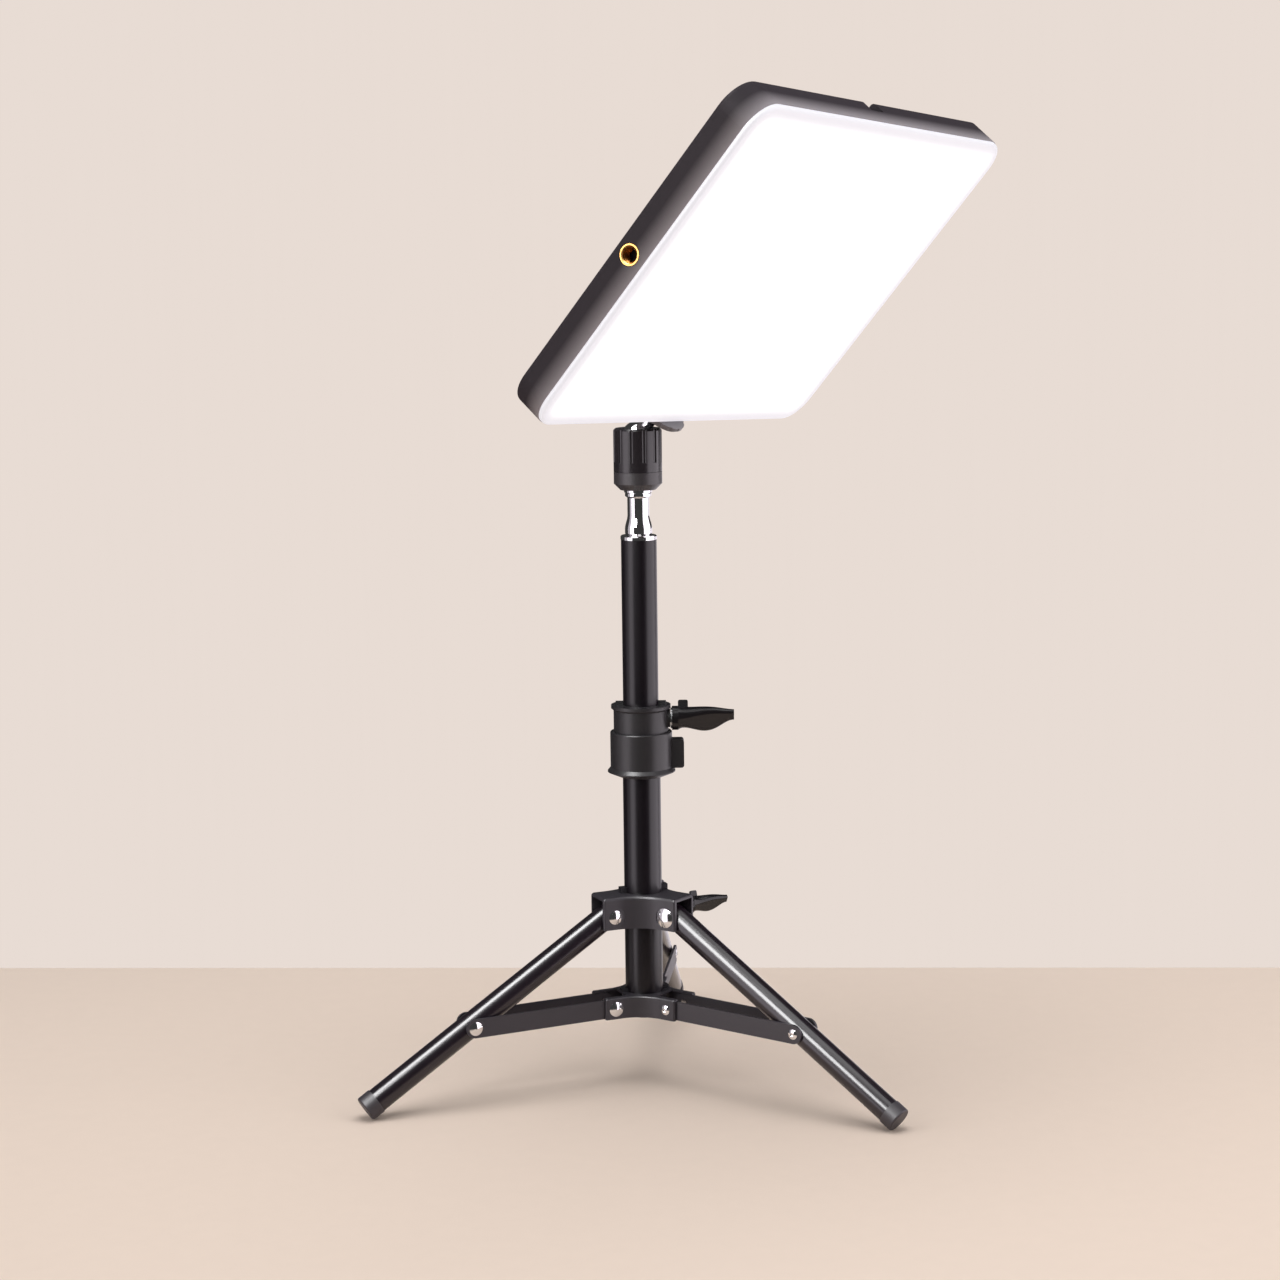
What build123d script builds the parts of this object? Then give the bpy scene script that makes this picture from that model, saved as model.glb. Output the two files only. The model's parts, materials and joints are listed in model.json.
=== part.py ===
"""LED panel light on a folding mini stand.

A flat edge-lit panel stands on a ball head, which screws on to the spigot of a
two-section telescopic column. Three tubular legs hang from a sliding hub and
are braced by flat-bar struts from a hub fixed at the foot of the column.

Frame: millimetres, +Z up, origin on the floor in the middle of the ground that
the whole stand takes up. The sub-parts are modelled round the column axis and
moved together to that frame as they are written, one STEP file for each.
"""
from build123d import *
import os
from math import atan2, cos, degrees, hypot, radians, sin, sqrt

# ---------------------------------------------------------------- driving dimensions

# Fits and clearances
pin_clearance = 0.05        # radial, rivet or screw in a moving piece
slide_clearance = 0.05      # radial, tube in its bushing
ball_clearance = 0.06       # radial, ball in its seat
side_clearance = 0.3        # between flat faces that pass each other
rim_gap = 0.2               # between a turning piece and the face it sits under
overrun = 1.0               # cutting shapes run past the faces they cut

# Column
tube_radius = 11.0          # lower tube, outside
tube_wall = 0.6
tube_top = 212.0
mast_clearance = 0.1        # radial, upper tube in lower tube
mast_wall = 0.8
mast_length = 171.4
mast_showing = 109.4        # upper tube standing out of the lower one
end_plug_length = 8.0
end_plug_flange = 2.0
end_plug_wall = 1.2
tail_plug_length = 14.0
cap_ring_height = 2.3
cap_ring_overhang = 0.2
cap_bevel = 0.5
cap_plug_length = 8.0

# Leg linkage, in the vertical plane of each leg
leg_names = "abc"
first_leg_azimuth = -36.0
leg_angle = 32.4            # below horizontal, legs open
leg_reach = 180.0           # hub pivot to the outer face of the foot
leg_radius = 7.12
leg_wall = 0.9
leg_heel = 5.0              # tube past the hub pivot
leg_plug_length = 22.0
hub_pivot_radius = 22.0
strut_station = 103.5       # hub pivot to strut pivot, along the leg
lower_pivot_radius = 22.85
lower_pivot_height = 48.0

# Foot caps
foot_wall = 0.45
foot_length = 8.0
foot_end = 2.0
foot_rounding = 1.0

# Hubs: three inverted-U arms joined by hollow valleys
bushing_wall = 1.2
hub_ring_wall = 0.8
upper_hub_reach = 29.3
upper_hub_below = 7.3       # pivot to underside
upper_hub_above = 11.8      # pivot to top face
upper_hub_cheek = 2.2
upper_hub_web = 2.0
upper_hub_valley = 26.0     # outside radius of the valley walls
upper_hub_play = 0.5        # between a leg and the cheeks of its arm
lower_hub_reach = 29.3
lower_hub_below = 5.9
lower_hub_above = 6.7
lower_hub_cheek = 2.0
lower_hub_web = 1.0
lower_hub_valley = 22.0
upper_hub_edge = 1.8        # rounding of the top edges
lower_hub_edge = 1.0
hub_corner = 1.2            # rounding of the arm corners
ear_count = 2
ear_azimuth = 20.0          # first snap ear of the hub bushings
ear_width = 5.0
ear_depth = 2.4
ear_height = 1.9            # snap ears above a sleeve's end
upper_ear_height = 3.2

# Struts and rivets
strut_height = 11.0
strut_thickness = 1.5
rivet_radius = 2.0
upper_head_large = 5.7
upper_head_small = 4.1
lower_head_large = 4.3
lower_head_small = 2.9
strut_head_large = 4.0
strut_head_small = 2.9
head_dome = 0.26            # dome height over head radius
curl_bore = 0.42            # hollow of a curled rivet end over its head radius
spot_margin = 0.2           # spot face round a head

# Height collar
collar_lip_radius = 19.7
collar_ring_radius = 18.0
collar_neck_radius = 15.9
collar_rim_radius = 17.3
collar_overlap = 26.3       # from the edge of the lip to the lower tube's end
collar_ring_height = 23.7
collar_neck_height = 15.5
collar_lip_height = 2.6
collar_lip_edge = 0.6
collar_rim_height = 1.8
collar_rim_slope = 1.2
collar_skirt = 2.6          # sloping underside below the lip
collar_skirt_wall = 2.5
collar_rounding = 0.8
collar_sleeve = 2.0         # solid wall left round the lower tube
collar_ear_reach = 24.8
collar_ear_rise = 2.3       # above the edge of the lip
collar_ear_height = 16.6
collar_ear_width = 9.4
collar_ear_rounding = 1.6
collar_slot = 1.4
collar_slot_over = 1.2      # slot past the ears
pinch_bolt_radius = 1.9
pinch_head_radius = 3.3
pinch_head_height = 2.4
pinch_wall = 1.5            # left beyond the bolt's end
hex_socket_radius = 1.5
hex_socket_depth = 1.4

# Wing knobs
knob_screw_radius = 2.5
knob_pad_radius = 2.3
screw_in_knob = 0.3         # share of a knob's reach that its screw runs in
knob_fin_turn = 50.0        # fin from the plane of the blade
collar_knob_drop = 8.2      # below the top of the collar
collar_knob_boss = 5.4      # radius of the boss on the collar
collar_knob_seat = 17.0     # distance of the boss face from the column axis
collar_knob_reach = 36.0
collar_knob_tall = 14.0
collar_knob_twist = 24.0
hub_knob_azimuth = 24.0
hub_knob_boss = 5.0
hub_knob_seat = 28.6
hub_knob_reach = 25.0
hub_knob_tall = 10.4
hub_knob_twist = 30.0
washer_thickness = 0.8
washer_margin = 0.6

# Spigot and ball head
spigot_length = 26.3
spigot_radius = 7.85
spigot_waist = 6.3
spigot_flange = 8.1
spigot_foot_height = 3.4
spigot_swell = 8.6          # height of the curve from foot to waist
spigot_bevel = 0.5
spigot_foot_bevel_height = 1.2
flange_height = 1.5
flange_gap = 0.6            # groove between the two flanges
flange_slope = 1.0
groove_step = 0.3
head_radius = 13.9
head_base_height = 10.4
head_bevel = 3.6
head_neck_radius = 12.0
head_neck_height = 15.6
ball_radius = 9.5
ball_above_base = 29.8      # ball centre above the underside of the head
seat_wall = 1.15
seat_floor = 3.2
lock_ring_height = 24.9
lock_ring_clearance = 0.08  # radial, ring on the head's neck
lock_ring_band = 5.4        # plain band below the flutes
lock_ring_bevel = 1.2
lock_ring_flutes = 12
flute_radius = 1.5
flute_depth = 0.75
mouth_height = 4.0          # lip edge above the ball centre
mouth_flare = 1.6
stem_radius = 3.5
stud_radius = 3.175         # 1/4 in thread
stud_length = 7.0           # in the panel insert
lock_disc_radius = 17.4
lock_disc_thickness = 3.6
lock_disc_bevel = 1.8
lock_disc_boss = 6.0
lock_disc_boss_height = 3.4
lock_disc_notches = 16
notch_radius = 1.0
notch_bite = 0.5            # depth of a thumb notch
stem_length = 22.0          # ball centre to the underside of the panel

# Attitude of the stem and panel
lean_azimuth = -28.0
stem_tilt = 40.3
panel_spin = 85.5

# Panel
panel_width = 292.0
panel_height = 211.6
panel_depth = 18.9
panel_corner = 17.6
panel_wall = 2.2
panel_back_rounding = 2.4
diffuser_thickness = 3.0
diffuser_inset = 0.4
diffuser_rounding = 1.8
diffuser_lip = 1.5
diffuser_lip_depth = 1.6
guide_thickness = 2.5
guide_play = 0.5            # for the acrylic to grow, at each end
strip_thickness = 1.6
reflector_thickness = 0.4
chassis_thickness = 2.4
chassis_rim = 12.0
insert_radius = 5.7
insert_length = 9.0
insert_lead = 0.6           # chamfer at the mouth
seat_lead = 0.5             # chamfer of the seat in the wall
side_bore_radius = 4.3      # 3/8 in thread
boss_wall = 0.7
screw_boss_radius = 3.2
screw_radius = 1.4
screw_head_radius = 2.6
screw_head_height = 1.2
screw_recess = 0.2
screw_length = 10.0
screw_inset = 15.0
cross_length = 2.8          # recess in a screw head
cross_width = 0.8
cross_depth = 0.5
board_width = 84.0
board_height = 30.0
board_thickness = 1.6
board_standoff = 2.8
board_post_radius = 2.4
board_post_inset = 4.0
chip_count = 3
chip_pitch = 28.0
chip_width = 12.0
chip_height = 7.0
chip_thickness = 1.6
chip_rise = 8.0             # above the row of key switches
button_count = 4
button_pitch = 18.0
button_rise = 27.0          # button row above the bottom edge
button_radius = 4.4
button_flange = 0.9
button_flange_width = 1.1
button_rounding = 0.5
button_proud = 1.3
button_travel = 0.8
button_clearance = 0.15
key_radius = 1.6            # key switch plunger under a button
inlet_radius = 4.0
inlet_bore = 2.8
inlet_pin = 1.0
inlet_pin_recess = 1.0
inlet_floor = 2.0
inlet_play = 1.0            # round the socket in the chassis
inlet_length = 12.0
inlet_offset = 46.0         # along the bottom edge from the middle
vent_count = 9
vent_length = 34.0
vent_width = 2.0
vent_pitch = 6.0
vent_offset = 52.0
vent_rise = 18.0            # middle of the rows above the middle of the back
hook_width = 14.5           # recess in the top edge of the back, to hang the panel by
hook_depth = 9.0
hook_height = 5.0
hook_offset = -3.5
hook_wall = 1.6
led_count = 12
led_size = 2.0

# ---------------------------------------------------------------- derived sizes

tube_bore = tube_radius - tube_wall
mast_radius = tube_bore - mast_clearance
mast_bore = mast_radius - mast_wall
mast_top = tube_top + mast_showing
mast_bottom = mast_top - mast_length

arm_pitch = 360 / len(leg_names)
leg_azimuths = {name: first_leg_azimuth + i * arm_pitch for i, name in enumerate(leg_names)}
foot_radius = leg_radius + foot_wall
slope = radians(leg_angle)
foot_rise = (foot_radius - foot_rounding) * cos(slope) + foot_rounding * (1 - sin(slope))
hub_pivot_height = foot_rise + leg_reach * sin(slope)
strut_end_radius = hub_pivot_radius + strut_station * cos(slope)
strut_end_height = hub_pivot_height - strut_station * sin(slope)
strut_run = strut_end_radius - lower_pivot_radius
strut_fall = lower_pivot_height - strut_end_height
strut_length = hypot(strut_run, strut_fall)
strut_angle = degrees(atan2(strut_fall, strut_run))

bushing_bore = tube_radius + slide_clearance
bushing_radius = bushing_bore + bushing_wall
hub_ring_radius = bushing_radius + hub_ring_wall
upper_half = leg_radius + upper_hub_play    # inside half width of an upper arm
strut_inner = leg_radius + side_clearance   # strut bar, inner face from the leg plane
strut_outer = strut_inner + strut_thickness
lower_half = strut_outer + side_clearance   # inside half width of a lower arm
upper_face = upper_half + upper_hub_cheek
lower_face = lower_half + lower_hub_cheek
lower_hub_bottom = lower_pivot_height - lower_hub_below
lower_hub_top = lower_pivot_height + lower_hub_above
upper_hub_bottom = hub_pivot_height - upper_hub_below
upper_hub_top = hub_pivot_height + upper_hub_above

collar_bottom = tube_top - collar_overlap   # edge of the lip
collar_shoulder = collar_bottom + collar_ring_height
collar_top = collar_shoulder + collar_neck_height
collar_ear_top = collar_bottom + collar_ear_rise + collar_ear_height
collar_ear_middle = collar_ear_top - collar_ear_height / 2
collar_root = tube_radius + collar_sleeve
pinch_bolt_x = (collar_ear_reach + collar_ring_radius) / 2
collar_knob_height = collar_top - collar_knob_drop

spigot_bottom = mast_top + cap_ring_height
head_bottom = spigot_bottom + spigot_length
head_shoulder = head_bottom + head_base_height
head_neck_top = head_shoulder + head_neck_height
ball_height = head_bottom + ball_above_base
seat_radius = ball_radius + seat_wall
mouth_radius = sqrt((ball_radius + side_clearance) ** 2 - mouth_height ** 2)

half_depth = panel_depth / 2
panel_middle = stem_length + panel_height / 2
panel_top = stem_length + panel_height
inner_width = panel_width - 2 * panel_wall
inner_height = panel_height - 2 * panel_wall
inner_corner = panel_corner - panel_wall
guide_back = -half_depth + guide_thickness
chassis_front = guide_back + reflector_thickness
chassis_back = chassis_front + chassis_thickness
floor_face = half_depth - panel_wall        # inside face of the shell's back
screw_head_seat = half_depth - screw_recess - screw_head_height
bottom_bore_radius = stud_radius + pin_clearance
insert_boss_radius = insert_radius + boss_wall
button_xs = [(i - (button_count - 1) / 2) * button_pitch for i in range(button_count)]
button_z = stem_length + button_rise


standing = (Align.CENTER, Align.CENTER, Align.MIN)
hanging = (Align.CENTER, Align.CENTER, Align.MAX)


# ---------------------------------------------------------------- placing

def leg_plane(azimuth, radius, height, fall=0.0):
    """Frame with X outward along a leg or strut, falling at an angle, and Y across it."""
    return Rot(0, 0, azimuth) * Pos(radius, 0, height) * Rot(0, fall, 0)


def stem_frame():
    """Frame at the ball centre with Z along the stem and Y towards the panel's back."""
    return Pos(0, 0, ball_height) * Rot(0, 0, lean_azimuth) * Rot(0, stem_tilt, 0) * Rot(0, 0, panel_spin)


def radial_frame(azimuth, radius, height):
    """Frame with Z pointing outward from the column axis."""
    return Rot(0, 0, azimuth) * Pos(radius, 0, height) * Rot(0, 90, 0)


def cross_cylinder(radius, y_from, y_to):
    """Cylinder along Y between two stations."""
    body = Cylinder(radius, y_to - y_from)
    return Pos(0, (y_from + y_to) / 2, 0) * Rot(90, 0, 0) * body


def ring(outer, inner, height):
    """Tube standing on the XY plane."""
    return extrude(Circle(outer) - Circle(inner), height)


def turned(*points):
    """Solid of revolution about Z from an (r, z) outline."""
    outline = make_face(Polyline(*points, close=True))
    return revolve(Plane.XZ * outline, Axis.Z)


def domed_head(radius, y, side, curled=False):
    """Rivet head: a shallow spherical cap on the face at y, hollow where its end is curled."""
    rise = radius * head_dome
    sphere_radius = (radius ** 2 + rise ** 2) / (2 * rise)
    cap = Sphere(sphere_radius) & Pos(0, 0, sphere_radius) * Box(
        3 * radius, 3 * radius, 2 * rise)
    cap = Pos(0, 0, rise - sphere_radius) * cap
    if curled:
        cap -= Cylinder(curl_bore * radius, 2 * rise)
    return Pos(0, y, 0) * Rot(-90 * side, 0, 0) * cap


# ---------------------------------------------------------------- hubs

def hub_plan(half, reach, valley):
    """Outline of three arms whose cheeks run into each other in concave valleys."""
    plan = Sketch()
    for azimuth in leg_azimuths.values():
        plan += Rot(0, 0, azimuth) * Pos(reach / 2, 0) * Rectangle(reach, 2 * half)
    corners = plan.vertices().sort_by_distance((0, 0, 0))
    plan = fillet(corners[:3], valley)
    corners = plan.vertices().sort_by_distance((0, 0, 0))
    return fillet(corners[-6:], hub_corner)


def hub(half, cheek, reach, valley, bottom, top, web, edge):
    """Spider: cheeks, valley walls and top web round a central ring, open below."""
    outer = hub_plan(half + cheek, reach, valley)
    body = Pos(0, 0, bottom) * extrude(outer, top - bottom)
    body = fillet(body.faces().sort_by(Axis.Z)[-1].outer_wire().edges(), edge)
    hollow = offset(outer, -cheek)
    for azimuth in leg_azimuths.values():
        hollow += Rot(0, 0, azimuth) * Pos(reach, 0) * Rectangle(reach, 2 * half)
    hollow -= Circle(hub_ring_radius)
    body -= Pos(0, 0, bottom) * extrude(hollow, top - bottom - web)
    return body - Pos(0, 0, bottom) * Cylinder(
        bushing_radius, top - bottom, align=standing)


def sleeve(bore, bottom, top, first_ear, ear_top):
    """Nylon sleeve with snap ears that stand out over the face at its top."""
    body = Pos(0, 0, bottom) * ring(bushing_radius, bore, top - bottom)
    ear_ring = Pos(0, 0, top) * ring(bushing_radius + ear_depth, bore, ear_top)
    ear = Pos(bushing_radius, 0, top) * Box(4 * ear_depth, ear_width, 2 * ear_top)
    for i in range(ear_count):
        body += ear_ring & Rot(0, 0, first_ear + i * 360 / ear_count) * ear
    return body


def rivet_seat(face, head):
    """Through hole for a rivet with a spot face outside each cheek."""
    hole = cross_cylinder(rivet_radius, -face - overrun, face + overrun)
    for side in (-1, 1):
        near, far = sorted((side * face, side * (face + head)))
        hole += cross_cylinder(head + spot_margin, near, far)
    return hole


def upper_hub():
    body = hub(upper_half, upper_hub_cheek, upper_hub_reach, upper_hub_valley,
               upper_hub_bottom, upper_hub_top, upper_hub_web, upper_hub_edge)
    boss_length = hub_knob_seat - hub_ring_radius
    boss = radial_frame(hub_knob_azimuth, hub_ring_radius - hub_ring_wall / 2, hub_pivot_height) * Cylinder(
        hub_knob_boss, boss_length + hub_ring_wall / 2, align=standing)
    screw_hole = radial_frame(hub_knob_azimuth, 0, hub_pivot_height) * Cylinder(
        knob_screw_radius + pin_clearance, hub_knob_seat + overrun, align=standing)
    body = body + boss - screw_hole
    for azimuth in leg_azimuths.values():
        place = leg_plane(azimuth, hub_pivot_radius, hub_pivot_height)
        body -= place * rivet_seat(upper_face, upper_head_large)
    return body


def lower_hub():
    body = hub(lower_half, lower_hub_cheek, lower_hub_reach, lower_hub_valley,
               lower_hub_bottom, lower_hub_top, lower_hub_web, lower_hub_edge)
    slot_start = hub_pivot_radius - leg_radius - side_clearance
    slot_length = lower_hub_reach - slot_start + overrun
    for azimuth in leg_azimuths.values():
        slot = Pos(slot_start + slot_length / 2, 0, lower_hub_top) * Box(
            slot_length, 2 * strut_inner, 4 * lower_hub_web)
        body -= Rot(0, 0, azimuth) * slot
        place = leg_plane(azimuth, lower_pivot_radius, lower_pivot_height)
        body -= place * rivet_seat(lower_face, lower_head_large)
    return body


def leg_pivot_rivets():
    """Three rivets through the upper arms, each with a wide and a narrow head."""
    rivets = []
    for azimuth in leg_azimuths.values():
        rivet = cross_cylinder(rivet_radius, -upper_face, upper_face)
        rivet += domed_head(upper_head_large, -upper_face, -1)
        rivet += domed_head(upper_head_small, upper_face, 1)
        rivets.append(leg_plane(azimuth, hub_pivot_radius, hub_pivot_height) * rivet)
    return Compound(rivets)


def lower_hub_rivets():
    """Short shoulder rivets, one through each lower cheek and strut bar."""
    rivets = []
    for azimuth in leg_azimuths.values():
        place = leg_plane(azimuth, lower_pivot_radius, lower_pivot_height)
        near = cross_cylinder(rivet_radius, -lower_face, -strut_inner)
        near += domed_head(lower_head_small, -lower_face, -1, curled=True)
        far = cross_cylinder(rivet_radius, strut_inner, lower_face)
        far += domed_head(lower_head_large, lower_face, 1)
        rivets += [place * near, place * far]
    return Compound(rivets)


# ---------------------------------------------------------------- legs and struts

def leg_pieces(azimuth):
    """Leg tube, the plug that carries its pivot, and the foot cap."""
    place = leg_plane(azimuth, hub_pivot_radius, hub_pivot_height, leg_angle)
    lying = Pos(-leg_heel, 0, 0) * Rot(0, 90, 0)
    pivot_hole = cross_cylinder(rivet_radius + pin_clearance, -foot_radius, foot_radius)
    tube_length = leg_heel + leg_reach - foot_end
    tube = lying * ring(leg_radius, leg_radius - leg_wall, tube_length) - pivot_hole
    plug = lying * Cylinder(
        leg_radius - leg_wall, leg_plug_length, align=standing) - pivot_hole
    cap = Cylinder(foot_radius, foot_length, align=hanging)
    cap = fillet(cap.faces().sort_by(Axis.Z)[-1].edges(), foot_rounding)
    cap -= Pos(0, 0, -foot_end) * Cylinder(
        leg_radius, foot_length, align=hanging)
    cap = Pos(leg_reach, 0, 0) * Rot(0, 90, 0) * cap
    return place * tube, place * plug, place * cap


def strut_bars(azimuth):
    """Two flat bars with rounded ends, one on each side of the leg."""
    outline = Pos(strut_length / 2, 0) * SlotCenterToCenter(strut_length, strut_height)
    for station in (0, strut_length):
        outline -= Pos(station, 0) * Circle(rivet_radius + pin_clearance)
    bar = extrude(Plane.XZ * outline, strut_thickness / 2, both=True)
    middle = (strut_inner + strut_outer) / 2
    place = leg_plane(azimuth, lower_pivot_radius, lower_pivot_height, strut_angle)
    return Compound([place * Pos(0, side * middle, 0) * bar for side in (-1, 1)])


def strut_rivets(azimuth):
    """Short rivets at the leg end, clear of the leg on the inside."""
    place = leg_plane(azimuth, lower_pivot_radius, lower_pivot_height, strut_angle) * Pos(strut_length, 0, 0)
    shank = rivet_radius + pin_clearance
    near = cross_cylinder(shank, -strut_outer, -strut_inner) + domed_head(
        strut_head_small, -strut_outer, -1, curled=True)
    far = cross_cylinder(shank, strut_inner, strut_outer) + domed_head(strut_head_large, strut_outer, 1)
    return Compound([place * near, place * far])


# ---------------------------------------------------------------- column and collar

def lower_tube():
    return Pos(0, 0, lower_hub_bottom) * ring(tube_radius, tube_bore, tube_top - lower_hub_bottom)


def tube_end_plug():
    """Plug pushed into the foot of the lower tube, flush with the bushing outside."""
    flange = Pos(0, 0, lower_hub_bottom - end_plug_flange) * Cylinder(
        tube_radius, end_plug_flange, align=standing)
    flange = fillet(flange.edges().sort_by(Axis.Z)[0], end_plug_flange / 2)
    return flange + Pos(0, 0, lower_hub_bottom) * ring(
        tube_bore, tube_bore - end_plug_wall, end_plug_length)


def collar_screw_hole(radius):
    return radial_frame(0, 0, collar_knob_height) * Cylinder(
        radius, collar_knob_seat + overrun, align=standing)


def height_collar():
    """Stepped collar: wide ring on the lower tube, neck round the guide, pinch ears."""
    lip_top = collar_bottom + collar_lip_height
    rim_bottom = collar_top - collar_rim_height
    body = turned(
        (tube_radius, collar_bottom - collar_skirt),
        (tube_radius + collar_skirt_wall, collar_bottom - collar_skirt),
        (collar_lip_radius, collar_bottom),
        (collar_lip_radius, collar_bottom + collar_lip_edge),
        (collar_ring_radius, lip_top),
        (collar_ring_radius, collar_shoulder),
        (collar_neck_radius, collar_shoulder),
        (collar_neck_radius, rim_bottom - collar_rim_slope),
        (collar_rim_radius, rim_bottom),
        (collar_rim_radius, collar_top),
        (bushing_radius, collar_top),
        (bushing_radius, tube_top),
        (tube_radius, tube_top))
    shoulder = [e for e in body.edges().filter_by(GeomType.CIRCLE)
                if abs(e.radius - collar_ring_radius) < 0.01 and e.center().Z > collar_shoulder - 0.01]
    body = fillet(shoulder, collar_rounding)
    ear_length = collar_ear_reach - collar_root
    ears = Pos(collar_ear_reach - ear_length / 2, 0, collar_ear_middle) * Box(
        ear_length, collar_ear_width, collar_ear_height)
    ears = fillet(ears.edges().filter_by(Axis.Y), collar_ear_rounding)
    boss = radial_frame(0, collar_root, collar_knob_height) * Cylinder(
        collar_knob_boss, collar_knob_seat - collar_root, align=standing)
    body = body + ears + boss - collar_screw_hole(knob_screw_radius + pin_clearance)
    slot_bottom = collar_bottom - collar_skirt - overrun
    slot_top = collar_ear_top + collar_slot_over
    body -= Pos(collar_ear_reach, 0, (slot_bottom + slot_top) / 2) * Box(
        2 * (collar_ear_reach - tube_radius + overrun), collar_slot, slot_top - slot_bottom)
    return body - Pos(pinch_bolt_x, 0, collar_ear_middle) * cross_cylinder(
        pinch_bolt_radius, pinch_wall - collar_ear_width / 2, collar_ear_width)


def collar_pinch_bolt():
    """Bolt that draws the collar's ears together, entered from behind."""
    back = collar_ear_width / 2
    bolt = cross_cylinder(pinch_bolt_radius, pinch_wall - back, back)
    head = cross_cylinder(pinch_head_radius, back, back + pinch_head_height)
    socket = Pos(0, back + pinch_head_height, 0) * Rot(90, 0, 0) * extrude(
        RegularPolygon(hex_socket_radius, 6), hex_socket_depth)
    return Pos(pinch_bolt_x, 0, collar_ear_middle) * (bolt + head - socket)


def collar_guide():
    """Sleeve on the lower tube's end that centres the upper tube, with a hole for the pad."""
    guide = sleeve(mast_radius + slide_clearance, tube_top, collar_top, 0, ear_height)
    return guide - collar_screw_hole(knob_pad_radius)


def clamp_pad(azimuth, height, tube):
    """Nylon pad between a knob's screw and a tube."""
    pad = radial_frame(azimuth, 0, height) * Cylinder(
        knob_pad_radius, bushing_radius, align=standing)
    core = Pos(0, 0, height) * Cylinder(tube + slide_clearance, 4 * knob_pad_radius)
    return pad - core


# ---------------------------------------------------------------- wing knobs

def wing_knob(reach, tall, twist):
    """Lever knob along Z: a round root that flows into a thinning blade, nicked below its tip.

    A short fin stands on the root opposite the blade's lower edge. X points down.
    """
    root = 0.1 * reach
    stations = (
        (root, 0.0, 0.98, 0.80),
        (0.36 * reach, -0.02, 0.97, 0.58),
        (0.76 * reach, 0.02, 0.84, 0.36),
        (0.88 * reach, 0.10, 0.58, 0.30),
        (reach, 0.13, 0.46, 0.24))
    sections = []
    for z, lift, height_share, thickness_share in stations:
        size = (height_share * tall, thickness_share * tall)
        face = RectangleRounded(size[0], size[1], 0.42 * size[1])
        sections.append(Pos(-lift * tall, 0, z) * face)
    body = loft(sections) + Cylinder(tall / 2, root, align=standing)
    fin = Pos(0, 0, root) * Box(1.5 * tall, 0.2 * tall, 1.6 * root, align=standing)
    fin = fillet(fin.edges().filter_by(Axis.Y), 0.08 * tall)
    fin &= Pos(-tall, 0, 0) * Box(2 * tall, tall, 2 * reach)
    return Rot(0, 0, twist) * (body + Rot(0, 0, -knob_fin_turn) * fin)


def knob_piece(azimuth, height, seat, reach, tall, twist):
    """Knob placed with its root on the washer or the boss face at seat."""
    knob = wing_knob(reach, tall, twist)
    knob -= Cylinder(knob_screw_radius, screw_in_knob * reach, align=standing)
    return radial_frame(azimuth, seat, height) * knob


def knob_screw(azimuth, height, seat, reach):
    """Steel screw moulded into the knob that starts at seat, running in to the clamp pad."""
    start = bushing_radius
    return radial_frame(azimuth, start, height) * Cylinder(
        knob_screw_radius, seat + screw_in_knob * reach - start, align=standing)


def collar_knob_washer():
    return radial_frame(0, collar_knob_seat + rim_gap, collar_knob_height) * ring(
        collar_knob_boss + washer_margin, knob_screw_radius, washer_thickness)


# ---------------------------------------------------------------- mast and ball head

def upper_tube():
    return Pos(0, 0, mast_bottom) * ring(mast_radius, mast_bore, mast_top - mast_bottom)


def mast_tail_plug():
    """Plug under the upper tube, which turns on it as the mast slides."""
    head = Pos(0, 0, mast_bottom - tail_plug_length / 2) * Cylinder(
        tube_bore - slide_clearance, tail_plug_length / 2, align=standing)
    spindle = Pos(0, 0, mast_bottom) * Cylinder(
        mast_bore - slide_clearance, tail_plug_length / 2, align=standing)
    return head + spindle


def mast_cap():
    body = Pos(0, 0, mast_top) * Cylinder(
        mast_radius + cap_ring_overhang, cap_ring_height, align=standing)
    body = chamfer(body.edges().sort_by(Axis.Z)[-1], cap_bevel)
    return body + Pos(0, 0, mast_top) * Cylinder(
        mast_bore, cap_plug_length, align=hanging)


def spigot():
    """Turned spigot: bulged foot, waist and a double flange under the head."""
    z = spigot_bottom
    foot_top = z + spigot_foot_height
    waist = foot_top + spigot_swell
    upper = head_bottom - flange_height
    lower = upper - flange_gap
    inner = spigot_flange - spigot_bevel
    side = Spline((spigot_radius, foot_top), (spigot_waist, waist), tangents=((0, 1), (0, 1)))
    foot = Polyline((0, z), (spigot_radius - spigot_bevel, z),
                    (spigot_radius, z + spigot_foot_bevel_height), (spigot_radius, foot_top))
    rest = Polyline(
        (spigot_waist, waist), (spigot_waist, lower - flange_height - flange_slope),
        (inner, lower - flange_height), (inner, lower),
        (spigot_waist + groove_step, lower), (spigot_waist + groove_step, upper),
        (spigot_flange, upper), (spigot_flange, head_bottom), (0, head_bottom), (0, z))
    return revolve(Plane.XZ * make_face([foot, side, rest]), Axis.Z)


def head_base():
    """Lower body of the ball head: bevelled cup with a neck for the lock ring."""
    z = head_bottom
    pocket = ball_height - ball_radius - seat_floor
    return turned(
        (0, z), (head_radius - head_bevel, z), (head_radius, z + head_bevel),
        (head_radius, head_shoulder), (head_neck_radius, head_shoulder),
        (head_neck_radius, head_neck_top), (seat_radius + slide_clearance, head_neck_top),
        (seat_radius + slide_clearance, pocket), (0, pocket))


def ball_seat():
    """Nylon cup under the ball, free to turn in the head."""
    floor = ball_height - ball_radius - seat_floor
    cup = Pos(0, 0, floor) * Cylinder(
        seat_radius, head_neck_top - floor, align=standing)
    return cup - Pos(0, 0, ball_height) * Sphere(ball_radius + ball_clearance)


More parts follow.
